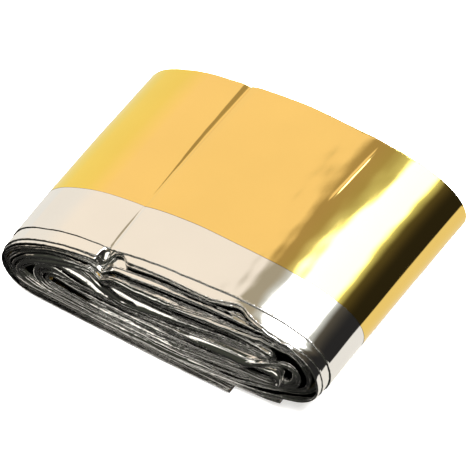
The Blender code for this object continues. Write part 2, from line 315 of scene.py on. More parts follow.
# front, middle and back of the strip: bundles that one fold wraps, by first and last place,
# drift of the bundles and of the gaps with its span, and the column of openPlaces
stacks = {
    "front": {
        "bundles": ((1, 8), (9, 16), (17, 22)),
        "bundleDrift": 1.5, "gapDrift": 0.9, "span": 26.0, "openColumn": 2,
    },
    "middle": {"bundles": (), "bundleDrift": 0.0, "gapDrift": 0.0, "span": 40.0, "openColumn": 3},
    "back": {
        "bundles": ((0, 1), (2, 9), (10, 17), (19, 22)),
        "bundleDrift": 0.4, "gapDrift": 0.7, "span": 26.0, "openColumn": 2,
    },
}
stackOrder = np.array(folds["stackOrder"])
outerShares = tableCurves(folds["outerShares"], travel)
plyCount = len(stackOrder)
chance = np.random.default_rng(folds["seed"])


# seeded values that drift smoothly along the strip: cubics through random knots
def driftRows(rows, span):
    reach = int(stripLength / span) + 6
    knots = chance.normal(size=(rows, reach))
    cell = (travel / span).astype(int) + 1
    t = travel / span + 1 - cell
    a, b, c, d = (knots[:, cell + k] for k in (-1, 0, 1, 2))
    return b + 0.5 * t * (c - a + t * (2 * a - 5 * b + 4 * c - d + t * (3 * b - a - 3 * c + d)))


# drifts of several spans added up, each with its own height
def unevenRows(rows, drifts):
    return sum(tall * driftRows(rows, span) for tall, span in drifts)


# thickness of the fan fold along the strip: the room there, squeezed and swollen by drift
outerTurn = 1.0 - softSwitch(travel, *folds["outerTurn"])
mostRoom = folds["mostRoom"] + folds["moreInside"] * (1.0 - outerTurn)
spaceThere = np.clip(room - folds["airBetween"], folds["leastRoom"], mostRoom)
spaceThere = bellSmooth(spaceThere, folds["roomSmooth"])
meanSwell, swellDrift, swellSpan = folds["swell"]
swell = meanSwell + swellDrift * np.tanh(driftRows(1, swellSpan)[0])
thickest = blend(folds["thickest"], folds["outerThickest"], outerTurn)
bundle = np.minimum(spaceThere * blend(swell, folds["outerSwell"], outerTurn), thickest)
bundle = bellSmooth(bundle, folds["bundleSmooth"])
asideDrift, asideSpan = folds["aside"]
aside = asideDrift * np.tanh(driftRows(1, asideSpan)[0])
aside = blend(aside, folds["outerAside"], outerTurn) * (spaceThere - bundle)

# how long or blunt the folds' roundings are along the strip
depthDrift, depthSpan = folds["foldDepthDrift"]
foldDepth = folds["foldDepth"] * np.exp(depthDrift * np.tanh(driftRows(1, depthSpan)[0]))
lowLevel, lowFade = folds["underneath"]
underneath = softSwitch(-lineLevel, -lowLevel, lowFade)
foldDepth = foldDepth * (1.0 + folds["lowerDeeper"] * underneath)


# swelling into the open space on one side, and its shift: flat-topped bells of the run
def openSwelling(column):
    rows = [
        (row[column] * np.exp(-(((travel - row[0]) / row[1]) ** 4)), row[4])
        for row in folds["openPlaces"]
    ]
    return sum(there for there, _ in rows), sum(0.5 * side * there for there, side in rows)


# offsets of the leaves from the middle line: a least gap each, the rest shared by weights
def stackOffsets(where):
    stack = stacks[where]
    atFront = where == "front"
    swollen, shifted = openSwelling(stack["openColumn"])
    thick, shift = bundle + swollen, aside + shifted
    leafDrift, leafSpan = folds["gapDrift"]
    weights = np.exp(leafDrift * driftRows(plyCount - 1, leafSpan))
    between = np.exp(stack["gapDrift"] * driftRows(plyCount - 1, stack["span"]))
    between *= folds["bundleGap"]
    inside = np.zeros(plyCount - 1, dtype=bool)
    for number, (first, last) in enumerate(stack["bundles"]):
        drift = driftRows(1, folds["bundleSpan"] * stack["span"])
        share = np.exp(stack["bundleDrift"] * drift)
        if atFront:
            share = blend(share, outerShares[number], outerTurn)
            share = blend(share, folds["lowerShares"][number], underneath)
        weights[first:last] *= share
        inside[first:last] = True
    if atFront:
        between *= 1.0 - folds["outerTogether"] * outerTurn
    weights[~inside] *= between[~inside]
    shares = weights / weights.sum(axis=0)
    leastGap = folds["leastGap"]
    gaps = leastGap + (thick - (plyCount - 1) * leastGap) * shares
    below = np.concatenate([np.zeros((1, len(travel))), np.cumsum(gaps, axis=0)])
    return 0.5 * thick + shift - below


leafOffsets = {where: stackOffsets(where) for where in stacks}


# how far each bundle's fold lies back: deeper where it is thin, and a little drift
def foldEdges(shortFall, where):
    bundles, offsets = stacks[where]["bundles"], leafOffsets[where]
    thick = np.stack([offsets[first] - offsets[last] for first, last in bundles])
    deeper = (1.0 - outerTurn) * folds["thinDeeper"]
    edges = shortFall + deeper * np.exp(-thick / folds["thinBelow"])
    uneven = unevenRows(len(bundles), folds["unevenEdges"])
    edges = edges + uneven * (1.0 - folds["lowerEvenness"] * underneath)
    return np.maximum(edges, -folds["mostForward"])


(innerShort,) = tableCurves(folds["innerFronts"], travel)
frontShort = blend(frontShort, innerShort, 1.0 - outerTurn)
edgeOf = {"front": foldEdges(frontShort, "front"), "back": foldEdges(backShort, "back")}
outerEdges = np.stack(tableCurves(folds["outerFronts"], travel))
outerEdges += unevenRows(len(outerEdges), folds["unevenOuter"])
edgeOf["front"] = blend(edgeOf["front"], outerEdges, outerTurn)
print("leaves:", plyCount)

# from run, height and depth to points in the packet
topCrease = {"at": 40.1, "halfWidth": 2.6, "depth": 0.4}
shoulder = {
    # how the crown tips over before the right end: depth, slope, where it is full
    "start": 87.5, "end": 119.5,
    "slopes": [
        (-46.5, 0.092, 98), (-12, 0.084, 98), (10, 0.066, 97), (25, 0.045, 93), (40, 0.032, 91),
        (46.5, 0.032, 91),
    ],
}
# heights where the crown's shapes come in, and how the lowest folds are pressed flat
levels = {
    "crown": 20.0, "relief": 13.0, "comesIn": 18.0, "top": 38.0,
    "pressed": 0.16, "pressedReach": 1.2,
}
noiseWaves = {"count": 18, "spread": 1.6, "size": 3.0}


# drop of the crown before the right end: a parabola up to the full slope, then straight
def shoulderDrop(at, depth):
    slope, full = tableCurves(shoulder["slopes"], depth, straightLines)
    start = shoulder["start"]
    curved = np.clip(at, start, full) - start
    straight = np.clip(at, full, shoulder["end"]) - full
    return slope * (0.5 * curved**2 / (full - start) + straight)


# smooth seeded noise: a sum of cosine waves with lengths about the two spans
def waveNoise(u, v, spanU, spanV, seed):
    dice = np.random.default_rng(seed)
    spread = noiseWaves["spread"]
    total = np.zeros(np.broadcast(u, v).shape)
    for _ in range(noiseWaves["count"]):
        along, across = dice.normal(size=2)
        start = dice.uniform(0.0, 2.0 * math.pi)
        total += np.cos(spread * along * u / spanU + spread * across * v / spanV + start)
    return total / noiseWaves["size"]


# noises added up, each given as height, two spans and seed
def noiseSum(u, v, noises):
    return sum(tall * waveNoise(u, v, spanU, spanV, seed) for tall, spanU, spanV, seed in noises)


relief = {
    "runAtMiddle": 103.0,  # run of the outer turn less the place along the packet
    # the long crease: depth, run there, how deep it is, width of its left flank
    "creaseLine": [
        (-46.5, 143.9, 0.16, 1), (-38, 143.6, 0.32, 1.3), (-30, 143.4, 0.33, 1.3),
        (-18, 143.2, 0.23, 1), (-14, 143.2, 0.13, 0.7), (-9, 143.1, 0.20, 0.8), (2, 142.9, 0.23, 1),
        (3.4, 143.2, 0.31, 1.4), (22, 143.2, 0.43, 2.3), (46.5, 143.1, 0.54, 3),
    ],
    "creaseRightFlank": 0.6,
    "creaseForm": (1.02, 0.003, 1.25),  # its rim, the bluntness of its bottom, its power
    "creaseBelow": (0.12, 3.5),  # how much deeper hidden leaves lie there, and half width
    # straight ridges: from run, depth to run, depth, height and half width in mm
    "ridges": [
        (194.9, 42, 194.2, 15, 0.13, 0.40), (153.7, -10.2, 159, -2.7, 0.26, 0.8),
        (156, -6.5, 161.5, -5.4, 0.08, 0.7), (141.8, -35.4, 146.6, -41.6, 0.55, 1.1),
        (147.6, -38.4, 152.6, -39.4, 0.30, 0.7), (185, -40.2, 191.5, -39.2, 0.30, 0.9),
    ],
    "ridgeForm": (0.02, 1.3),  # the bluntness of their tops, and their steepness
    "ridgeEnds": (1.15, 3, 1.05),  # how they end: rim, power, reach next to half a length
    # crumpled places: run, depth, half widths, height in mm, span and seed of their noise
    "crumples": [
        (146, -44, 6, 2.4, 0.30, 2.2, 31), (203, -41.6, 9, 2, 0.26, 2.6, 32),
        (216, -41.5, 9, 4, 0.30, 2.4, 33), (221, -37, 4, 3, 0.20, 1.9, 34),
    ],
    # where the front edge tips down: run, depth where it starts, half width, reach, drop
    "dips": [(143.8, -36.2, 2.4, 4.0, 2.2)],
    "dipMost": 1.5,
    # waves: height, span along the run and in depth, seed; from which run, how softly
    "waves": [
        (0.030, 14.0, 22.0, 11), (0.045, 7.0, 26.0, 12, 199.0, 4.0),
        (0.006, 2.6, 9.0, 14, 186.0, 5.0), (0.012, 4.0, 9.0, 13),
    ],
}


# relief of the crown: less the crease, a rounded notch, plus ridges, which fall off as an
# exponential, and crumples and waves of noise
def crownRelief(at, depth, hidden):
    run = at + relief["runAtMiddle"]
    seen = 1.0 - hidden
    line, strength, leftFlank = tableCurves(relief["creaseLine"], depth, straightLines)
    away = np.where(run < line, (line - run) / leftFlank, (run - line) / relief["creaseRightFlank"])
    rim, blunt, power = relief["creaseForm"]
    height = -strength * np.clip(rim - np.sqrt(away**2 + blunt), 0.0, 1.0) ** power
    deeper, halfWidth = relief["creaseBelow"]
    height -= hidden * deeper * np.exp(-(((run - line) / halfWidth) ** 2))
    blunt, steep = relief["ridgeForm"]
    rim, power, reach = relief["ridgeEnds"]
    for runA, depthA, runB, depthB, tall, halfWidth in relief["ridges"]:
        alongX, alongY = runB - runA, depthB - depthA
        size = math.hypot(alongX, alongY)
        share = ((run - runA) * alongX + (depth - depthA) * alongY) / size**2
        beside = ((run - runA) * alongY - (depth - depthA) * alongX) / size
        fromMiddle = np.abs(2.0 * share - 1.0)
        fade = np.clip(rim - fromMiddle**power, 0.0, 1.0)
        flank = np.exp(-np.sqrt((beside / halfWidth) ** 2 + blunt) * steep)
        height += seen * tall * fade * flank * (fromMiddle < reach)
    for runA, depthA, halfRun, halfDepth, tall, span, seed in relief["crumples"]:
        share = np.exp(-(((run - runA) / halfRun) ** 2) - ((depth - depthA) / halfDepth) ** 2)
        height += seen * tall * share * np.abs(waveNoise(run, depth, span, span, seed))
    for runA, depthA, halfRun, reach, drop in relief["dips"]:
        share = np.exp(-(((run - runA) / halfRun) ** 4))
        height -= drop * share * np.clip((depthA - depth) / reach, 0.0, relief["dipMost"])
    for tall, spanU, spanV, seed, *start in relief["waves"]:
        strength = tall * softSwitch(run, *start) if start else tall
        height += strength * waveNoise(run, depth, spanU, spanV, seed)
    return height


frontShape = {
    # noise of the front as height, span along and upwards, seed: how far folds lie back and tip
    "deeper": ((0.22, 42.0, 2.6, 21), (0.06, 3.5, 1.2, 22)),
    "tipDown": ((0.55, 26.0, 2.4, 23), (0.12, 3.4, 1.4, 24)),
    "mostForward": 0.5, "tipBase": 1.25, "tipReach": 3.0, "deepReach": 11.0,
    # where it starts: below the crown, from the left and right ends, and above the floor
    "belowCrown": (3.4, 0.5), "ends": (6.0, 117.0, 1.5), "aboveFloor": (1.0, 6.0),
}


# fading with the distance behind the front: the square of what is left of a reach
def fadeBehind(behind, reach):
    return np.clip(1.0 - behind / reach, 0.0, 1.0) ** 2


# the front's own shape: folds set back and tipped down by noise, fading with the distance
# behind it, on the crown and underneath
def shapeFront(at, level, depth):
    behind = depth + halfBreadth
    crown = boundaryAt("crown", np.clip(at, 0.0, winding["length"]))
    below, fade = frontShape["belowCrown"]
    inside = 1.0 - softSwitch(level - crown, -below, fade)
    left, right, fade = frontShape["ends"]
    inside = inside * softSwitch(at, left, fade) * softSwitch(-at, -right, fade)
    start, rise = frontShape["aboveFloor"]
    inside = inside * np.clip((level - start) / rise, 0.0, 1.0)
    deeper = np.maximum(noiseSum(at, level, frontShape["deeper"]), -frontShape["mostForward"])
    tip = np.maximum(frontShape["tipBase"] + noiseSum(at, level, frontShape["tipDown"]), 0.0)
    depth = depth + deeper * inside * fadeBehind(behind, frontShape["deepReach"])
    level = level - tip * inside * fadeBehind(behind, frontShape["tipReach"])
    return level, depth


# run, height and depth to the frame: the crown's shapes, then the section's scales and sway
def placePoints(at, level, depth, hidden):
    share = (depth + halfBreadth) / winding["breadth"]
    length, height, sway = tableCurves(winding["sections"], share)
    crownShare, reliefShare = (
        np.clip((level - levels[start]) / levels["comesIn"], 0.0, 1.0) ** 2
        for start in ("crown", "relief")
    )
    level, depth = shapeFront(at, level, depth)
    away = (at - topCrease["at"]) / topCrease["halfWidth"]
    level = level - topCrease["depth"] * np.exp(-(away**2)) * (level / levels["top"]) ** 2
    level = level - shoulderDrop(at, depth) * crownShare
    level = level + crownRelief(at, depth, hidden) * reliefShare
    level = level - levels["pressed"] * np.exp(-level / levels["pressedReach"])
    along = (at - halfLength) * length + sway
    return np.stack([along, depth, np.maximum(level, 0.0) * height], axis=-1) * mm


# unit normals of a grid of points: the cross product of its two directions
def gridNormals(points):
    alongRows = np.gradient(points, axis=0)
    alongColumns = np.gradient(points, axis=1)
    normals = np.cross(alongColumns, alongRows)
    return normals / np.maximum(np.linalg.norm(normals, axis=-1, keepdims=True), 1e-12)


# a sheet of even thickness: the grid moved half the film out on each side, its four rims closed
def filmFromGrid(name, points, acrossSheet, alongSheet, fromFold, materials):
    rows, columns = points.shape[:2]
    normals = gridNormals(points) * (0.5 * folds["filmThickness"] * mm)
    shells = (points + normals, points - normals)
    vertices = np.concatenate([shell.reshape(-1, 3) for shell in shells])
    count = rows * columns
    index = np.arange(count).reshape(rows, columns)
    a, b, c, d = index[:-1, :-1], index[:-1, 1:], index[1:, 1:], index[1:, :-1]
    outer = np.stack([a, b, c, d], axis=-1).reshape(-1, 4)
    inner = np.stack([a, d, c, b], axis=-1).reshape(-1, 4) + count
    edge = np.concatenate([index[0, :-1], index[:-1, -1], index[-1, :0:-1], index[:0:-1, 0]])
    following = np.roll(edge, -1)
    rim = np.stack([following, edge, edge + count, following + count], axis=-1)
    faces = np.concatenate([outer, inner, rim]).astype(np.int32)
    mesh = bpy.data.meshes.new(name)
    mesh.vertices.add(len(vertices))
    mesh.vertices.foreach_set("co", vertices.astype(np.float32).ravel())
    mesh.loops.add(faces.size)
    mesh.loops.foreach_set("vertex_index", faces.ravel())
    mesh.polygons.add(len(faces))
    mesh.polygons.foreach_set("loop_start", np.arange(0, faces.size, 4, dtype=np.int32))
    mesh.update(calc_edges=True)
    sides = (np.arange(len(faces)) >= len(outer)).astype(np.int32)
    mesh.polygons.foreach_set("material_index", sides)
    mesh.polygons.foreach_set("use_smooth", np.ones(len(faces), dtype=bool))
    uv = np.stack(np.broadcast_arrays(alongSheet * mm, acrossSheet * mm), axis=-1).reshape(-1, 2)
    uvLayer = mesh.uv_layers.new(name="sheet")
    uvLayer.data.foreach_set("uv", uv[faces.ravel() % count].astype(np.float32).ravel())
    distance = mesh.attributes.new("fromFold", "FLOAT", "POINT")
    distances = np.clip(fromFold, 0.0, folds["fromFoldMost"]).astype(np.float32)
    distance.data.foreach_set("value", np.tile(distances.ravel(), 2))
    onEdge = np.zeros(2 * count, dtype=bool)
    onEdge[np.append(edge, edge + count)] = True
    ends = np.zeros(2 * len(mesh.edges), dtype=np.int32)
    mesh.edges.foreach_get("vertices", ends)
    sharp = mesh.attributes.new("sharp_edge", "BOOLEAN", "EDGE")
    sharp.data.foreach_set("value", onEdge[ends].reshape(-1, 2).all(axis=1))
    for material in materials:
        mesh.materials.append(material)
    mesh.validate()
    piece = bpy.data.objects.new(name, mesh)
    bpy.context.collection.objects.link(piece)
    print("piece:", name, rows, "by", columns, "points,", 2 * len(faces), "triangles")
    return piece


# offset of one leaf at given depths: its own at the front, middle and back, blended
def leafOffset(place, columns, depth):
    rows = (leafOffsets[where][place] for where in stacks)
    front, middle, back = (np.interp(columns, travel, row) for row in rows)
    power = folds["blendPower"]
    nearFront = 1.0 - np.clip((depth + halfBreadth) / folds["frontBlend"], 0.0, 1.0) ** power
    nearBack = 1.0 - np.clip((halfBreadth - depth) / folds["backBlend"], 0.0, 1.0) ** power
    return middle + (front - middle) * nearFront + (back - middle) * nearBack


# tip and reach of the fold between two leaves: behind its bundle's edge by what it is thinner
def foldTip(places, columns, where):
    bundles, offsets = stacks[where]["bundles"], leafOffsets[where]
    low, high = min(places), max(places)
    index = [k for k, (first, last) in enumerate(bundles) if first <= low and high <= last][0]
    first, last = bundles[index]
    halves = 0.5 * (offsets[low] - offsets[high]), 0.5 * (offsets[first] - offsets[last])
    rows = (*halves, foldDepth, edgeOf[where][index])
    half, whole, roundness, edge = (np.interp(columns, travel, row) for row in rows)
    edge = edge + folds["nesting"] * roundness * (whole - half)
    edge = edge + (0.0 if (low, high) == (first, last) else folds["nestedBehind"])
    edge = halfBreadth - edge
    reach = roundness * np.maximum(half, folds["leastHalf"])
    return (-edge if where == "front" else edge), reach


# the outermost leaf's free edge: straight, with a little of a long sine
def freeEdgeLine(columns):
    sway, span = folds["freeSway"]
    return -halfBreadth + folds["freeEdge"] + sway * np.sin(columns / span)


# near a fold its two leaves draw together on an ellipse
def drawnTogether(offset, partnerOffset, distance, reach):
    halfway = 0.5 * (offset + partnerOffset)
    rounding = np.sqrt(1.0 - (1.0 - np.clip(distance / reach, 0.0, 1.0)) ** 2)
    return blend(halfway, offset, rounding)


# one leaf's rows from front to back, with offsets and distances from the nearer fold
def leafGrid(index, columns, rows):
    place = stackOrder[index]
    step = 1 if index % 2 else -1
    frontPartner = None if index == 0 else stackOrder[index + step]
    backPartner = None if index == plyCount - 1 else stackOrder[index - step]
    frontReach = backReach = np.full(len(columns), folds["freeReach"])
    frontTip, backTip = freeEdgeLine(columns), np.full(len(columns), folds["lastEdge"])
    if frontPartner is not None:
        frontTip, frontReach = foldTip((place, frontPartner), columns, "front")
    if backPartner is not None:
        backTip, backReach = foldTip((place, backPartner), columns, "back")
    depth = [frontTip + share * frontReach for share in rows["frontShares"]]
    depth += [frontTip + distance for distance in rows["front"]]
    depth += [np.full(len(columns), at) for at in rows["between"]]
    depth += [backTip - distance for distance in rows["back"]]
    depth += [backTip - share * backReach for share in rows["backShares"]]
    depth = np.stack(depth)
    offset = leafOffset(place, columns, depth)
    fromFold = np.full(depth.shape, folds["fromFoldMost"])
    joins = [(frontPartner, depth - frontTip, frontReach)]
    joins += [(backPartner, backTip - depth, backReach)]
    for partner, distance, reach in joins:
        if partner is not None:
            partnerOffset = leafOffset(partner, columns, depth)
            offset = drawnTogether(offset, partnerOffset, distance, reach)
            fromFold = np.minimum(fromFold, distance)
    return depth, offset, fromFold


# how far a leaf is hidden: 0 where it shows on the crown, 1 where another lies on it
def hiddenShare(place, depth, columns):
    onOuterTurn = 1.0 - softSwitch(columns, *folds["crownUntil"])
    shownTo = folds["shownTo"].get(int(place))
    if shownTo is None:
        return np.ones(depth.shape) * onOuterTurn
    return softSwitch(depth, shownTo, folds["shownFade"]) * onOuterTurn


# how much lower a hidden leaf lies: soft switches of the depth and of the run
def loweredBy(place, hidden, depth, columns):
    amount, start, fade = folds["lowered"]
    lower = amount * hidden * softSwitch(depth, start, fade)
    if place > 1:
        amount, start, fade, run, runFade = folds["loweredAtEnd"]
        atEnd = softSwitch(columns, run, runFade)
        lower = lower + amount * hidden * softSwitch(depth, start, fade) * atEnd
    return lower


# leaves joined into one run of sheet: each one's rows, then the tip of the fold to the next
def fanGrid(leaves, columns, rowsOf):
    depths, offsets, distances, covers = [], [], [], []
    for index in leaves:
        place, backward = stackOrder[index], index % 2 == 1
        depth, offset, distance = leafGrid(index, columns, rowsOf(index))
        hidden = hiddenShare(place, depth, columns)
        leaf = (depth, offset - loweredBy(place, hidden, depth, columns), distance, hidden)
        for values, wanted in zip(leaf, (depths, offsets, distances, covers)):
            wanted.append(values[::-1] if backward else values)
        if index < leaves[-1]:
            pair = (place, stackOrder[index + 1])
            tip, _ = foldTip(pair, columns, "front" if backward else "back")
            depths.append(tip[None, :])
            distances.append(np.zeros((1, len(columns))))
            covers.append(covers[-1][-1:])
            offsets.append(0.5 * sum(leafOffset(leaf, columns, tip[None, :]) for leaf in pair))
    depth, offset, distance, hidden = map(np.concatenate, (depths, offsets, distances, covers))
    at, level, turnAt, turnLevel = (
        np.interp(columns, travel, row) for row in (lineAt, lineLevel, normalAt, normalLevel)
    )
    return at + turnAt * offset, level + turnLevel * offset, depth, distance, hidden


# distance run across the sheet at each row: the mean steps added up
def runAcross(points, start):
    steps = np.linalg.norm(np.diff(points, axis=0), axis=-1).mean(axis=1) / mm
    return (start + np.append(0.0, np.cumsum(steps)))[:, None]


# the pieces of the sheet
goldFilm = bpy.data.materials.new("goldFilm")
silverFilm = bpy.data.materials.new("silverFilm")
filmSides = (goldFilm, silverFilm)


# one length of the folded strip, as a closed film: the fan's grid placed in the packet
def makeFan(name, leaves, columns, rowsOf):
    at, level, depth, fromFold, hidden = fanGrid(leaves, columns, rowsOf)
    points = placePoints(at, level, depth, hidden)
    across = runAcross(points, leaves[0] * folds["leafBreadth"])
    piece = filmFromGrid(name, points, across, columns[None, :], fromFold, filmSides)
    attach(piece, "root")
    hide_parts("foil_blanket")


# rows across a leaf: shares of the rounding at its folds, distances behind them, depths between
crownRows = {
    "frontShares": (),
    "front": (0.0, 0.2, 0.6, 1.2, 2.5, 4.5),
    "between": tuple(np.linspace(-12.0, 38.0, 36)),
    "back": (4.0, 2.0, 1.0),
    "backShares": (1.0, 0.5, 0.15),
}
edgeRows = {
    "frontShares": (0.03, 0.12, 0.27, 0.47, 0.72, 1.0),
    "front": (
        1.2, 2.0, 3.0, 4.2, 5.6, 7.0, 8.5, 10.0, 11.5, 13.0, 14.5, 16.0, 17.5, 19.0, 21.0,
    ),
    "between": (-10.0, 0.0, 12.0, 26.0),
    "back": (4.0, 1.0),
    "backShares": (1.0, 0.15),
}


# an outer leaf's rows: even ones on the crown's own leaf, more near the front on the others
def outerRows(index):
    return edgeRows if index else crownRows


# an inner leaf's rows: more of them where it lies outermost of its bundle
def innerRows(index):
    wrapsFront, wrapsBack = (
        any(stackOrder[index] in ends for ends in stacks[where]["bundles"])
        for where in ("front", "back")
    )
    return {
        "frontShares": (0.05, 0.22, 0.5, 1.0) if wrapsFront else (1.0,),
        "front": (0.9, 1.7, 2.6, 3.6),
        "between": (-34.0, 0.0, 25.0),
        "back": (),
        "backShares": (1.0, 0.4, 0.08) if wrapsBack else (1.0,),
    }


# the turns, outermost first, each a fifth of the strip
turnNames = ("firstTurn", "secondTurn", "coreTurn", "tongueTurn", "lastTurn")
columnRule = {
    "bend": 0.22,  # how far the strip may turn from one column to the next
    "closest": 0.85, "widest": 2.5, "smooth": 2.0,
    # the outer sheet: run and the step of its columns from there
    "outerSteps": (
        (0.0, 2.0), (70.0, 0.9), (138.0, 0.3), (149.0, 0.5), (162.0, 0.9), (184.0, 0.5),
        (192.0, 0.3), (197.0, 0.8), (262.0, 2.0),
    ),
    "finePlaces": ((137.5, 149.5), (183.5, 197.5)),  # where the leaves below share its columns
    "fineApart": 0.35,
}
cuts = np.linspace(0.0, stripLength, len(turnNames) + 1)
turning = np.abs(np.gradient(np.unwrap(np.arctan2(slopeLevel, slopeAt)), travel))
columnStep = columnRule["bend"] / np.maximum(turning, 1e-6)
columnStep = np.clip(columnStep, columnRule["closest"], columnRule["widest"])
columnStep = bellSmooth(columnStep, columnRule["smooth"])
columnCount = np.append(0.0, np.cumsum(lineRule["step"] / columnStep))[:-1]


# columns between two places: even steps of the running count of columns
def columnsBetween(start, end):
    first, last = np.interp((start, end), travel, columnCount)
    columns = np.interp(np.linspace(first, last, int(last - first) + 2), columnCount, travel)
    columns[0], columns[-1] = start, end
    return columns


outerSteps = columnRule["outerSteps"]
outerEnds = [start for start, _ in outerSteps[1:]] + [cuts[1]]
outerColumns = np.concatenate(
    [np.arange(start, end, step) for (start, step), end in zip(outerSteps, outerEnds)] + [cuts[1:2]]
)
makeFan("outerWrap", (0, 1, 2), outerColumns, outerRows)
fine = [(outerColumns > low) & (outerColumns < high) for low, high in columnRule["finePlaces"]]
fineParts = outerColumns[np.any(fine, axis=0)]
for number, name in enumerate(turnNames):
    columns = columnsBetween(cuts[number], cuts[number + 1])
    leaves = range(plyCount)
    if number == 0:
        apart = np.abs(columns[:, None] - fineParts[None, :]).min(axis=1)
        columns = columns[apart > columnRule["fineApart"]]
        columns = np.sort(np.concatenate([columns, fineParts]))
        leaves = leaves[3:]
    makeFan(name, leaves, columns, innerRows)

finish = {
    # noise per metre, its detail, heights in metres, reach in mm, ranges of what they give
    "grainScale": 420.0, "grainDetail": 5.0, "grainHeight": 0.0000035,
    "beadsAlong": 620.0, "beadsAcross": 1500.0, "beadDetail": 2.0,
    "beadHeight": 0.00022, "beadReach": 0.9, "beadDull": 0.05,
    "patchScale": 38.0, "patchDetail": 3.0,
    "dullRange": (0.35, 0.65), "smooth": 0.035, "rough": 0.085,
    "shadeRange": (0.3, 0.7), "darkest": 0.965, "lightest": 1.0,
    # colour of each side along the packet: place in mm and colour. The gold's changes of tint along
    # it are painted reflection, yellower at the left end
    "gold": [
        (-62.5, (1.0, 0.79, 0.135)), (-46.0, (1.0, 0.735, 0.145)), (-38.0, (0.99, 0.70, 0.235)),
        (29.0, (0.99, 0.70, 0.235)), (36.0, (0.95, 0.765, 0.22)), (52.0, (0.94, 0.76, 0.19)),
        (56.5, (0.96, 0.69, 0.19)), (62.5, (0.95, 0.68, 0.19)),
    ],
    "silver": [(-62.5, (0.92, 0.915, 0.91)), (62.5, (0.92, 0.915, 0.91))],
}


# adds and links the nodes of one tree
class NodeWriter:
    # keeps the tree that it writes to
    def __init__(self, tree):
        self.tree = tree

    # a shader node of a kind, its properties set, its sockets given as values or linked
    def add(self, kind, sockets=None, **settings):
        node = self.tree.nodes.new("ShaderNode" + kind)
        for key, value in settings.items():
            setattr(node, key, value)
        for name, source in (sockets or {}).items():
            if isinstance(source, bpy.types.NodeSocket):
                self.link(source, node.inputs[name])
            else:
                node.inputs[name].default_value = source
        return node

    # a link from one node's output to another's input
    def link(self, source, target):
        self.tree.links.new(source, target)

    # values joined by one operation
    def join(self, operation, *values):
        return self.add("Math", dict(enumerate(values)), operation=operation).outputs["Value"]

    # one colour laid over another: their mix by a mask
    def mix(self, mask, below, above, way="MIX"):
        sockets = {"Factor": mask, "A": below, "B": above}
        return self.add("Mix", sockets, data_type="RGBA", blend_type=way).outputs["Result"]

    # a value mapped from one range to another
    def mapped(self, value, start, end, low=0.0, high=1.0, **settings):
        names = ("Value", "From Min", "From Max", "To Min", "To Max")
        sockets = dict(zip(names, (value, start, end, low, high)))
        return self.add("MapRange", sockets, **settings).outputs["Result"]

    # cloudy noise read at a vector
    def noise(self, vector, scale, detail):
        sockets = {"Vector": vector, "Scale": scale, "Detail": detail}
        return self.add("TexNoise", sockets).outputs["Fac"]


# a node group with its named sockets, vectors and values, and its two end nodes
def startGroup(name, vectors, values, gives):
    group = bpy.data.node_groups.new(name, "ShaderNodeTree")
    sockets = [(socket, "INPUT", "NodeSocketVector") for socket in vectors]
    sockets += [(socket, "INPUT", "NodeSocketFloat") for socket in values]
    sockets += [(socket, "OUTPUT", "NodeSocketFloat") for socket in gives]
    for socket, way, kind in sockets:
        group.interface.new_socket(name=socket, in_out=way, socket_type=kind)
    taken, given = (group.nodes.new("NodeGroup" + end) for end in ("Input", "Output"))
    return group, NodeWriter(group), taken.outputs, given.inputs


# the film's grain: fine noise gives the height, broad noise the roughness and a shade
def makeGrain():
    group, write, taken, given = startGroup(
        "filmGrain", ["Place"], [], ["Height", "Roughness", "Shade"]
    )
    grain, patches = (
        write.noise(taken["Place"], finish[kind + "Scale"], finish[kind + "Detail"])
        for kind in ("grain", "patch")
    )
    dulled = write.mapped(patches, *finish["dullRange"], finish["smooth"], finish["rough"])
    shaded = write.mapped(patches, *finish["shadeRange"], finish["darkest"], finish["lightest"])
    write.link(grain, given["Height"])
    write.link(dulled, given["Roughness"])
    write.link(shaded, given["Shade"])
    return group


# beads along the folds: noise drawn out across the sheet, gone beadReach mm behind a fold
def makeBeads():
    group, write, taken, given = startGroup(
        "foldBeads", ["Sheet"], ["From Fold"], ["Height", "Near Fold"]
    )
    stretch = (finish["beadsAlong"], finish["beadsAcross"], 1.0)
    stretched = write.add("VectorMath", {0: taken["Sheet"], 1: stretch}, operation="MULTIPLY")
    beads = write.noise(stretched.outputs["Vector"], 1.0, finish["beadDetail"])
    near = write.mapped(
        taken["From Fold"], 0.0, finish["beadReach"], 1.0, 0.0, interpolation_type="SMOOTHSTEP"
    )
    write.link(write.join("MULTIPLY", beads, near), given["Height"])
    write.link(near, given["Near Fold"])
    return group


grainGroup, beadGroup = makeGrain(), makeBeads()


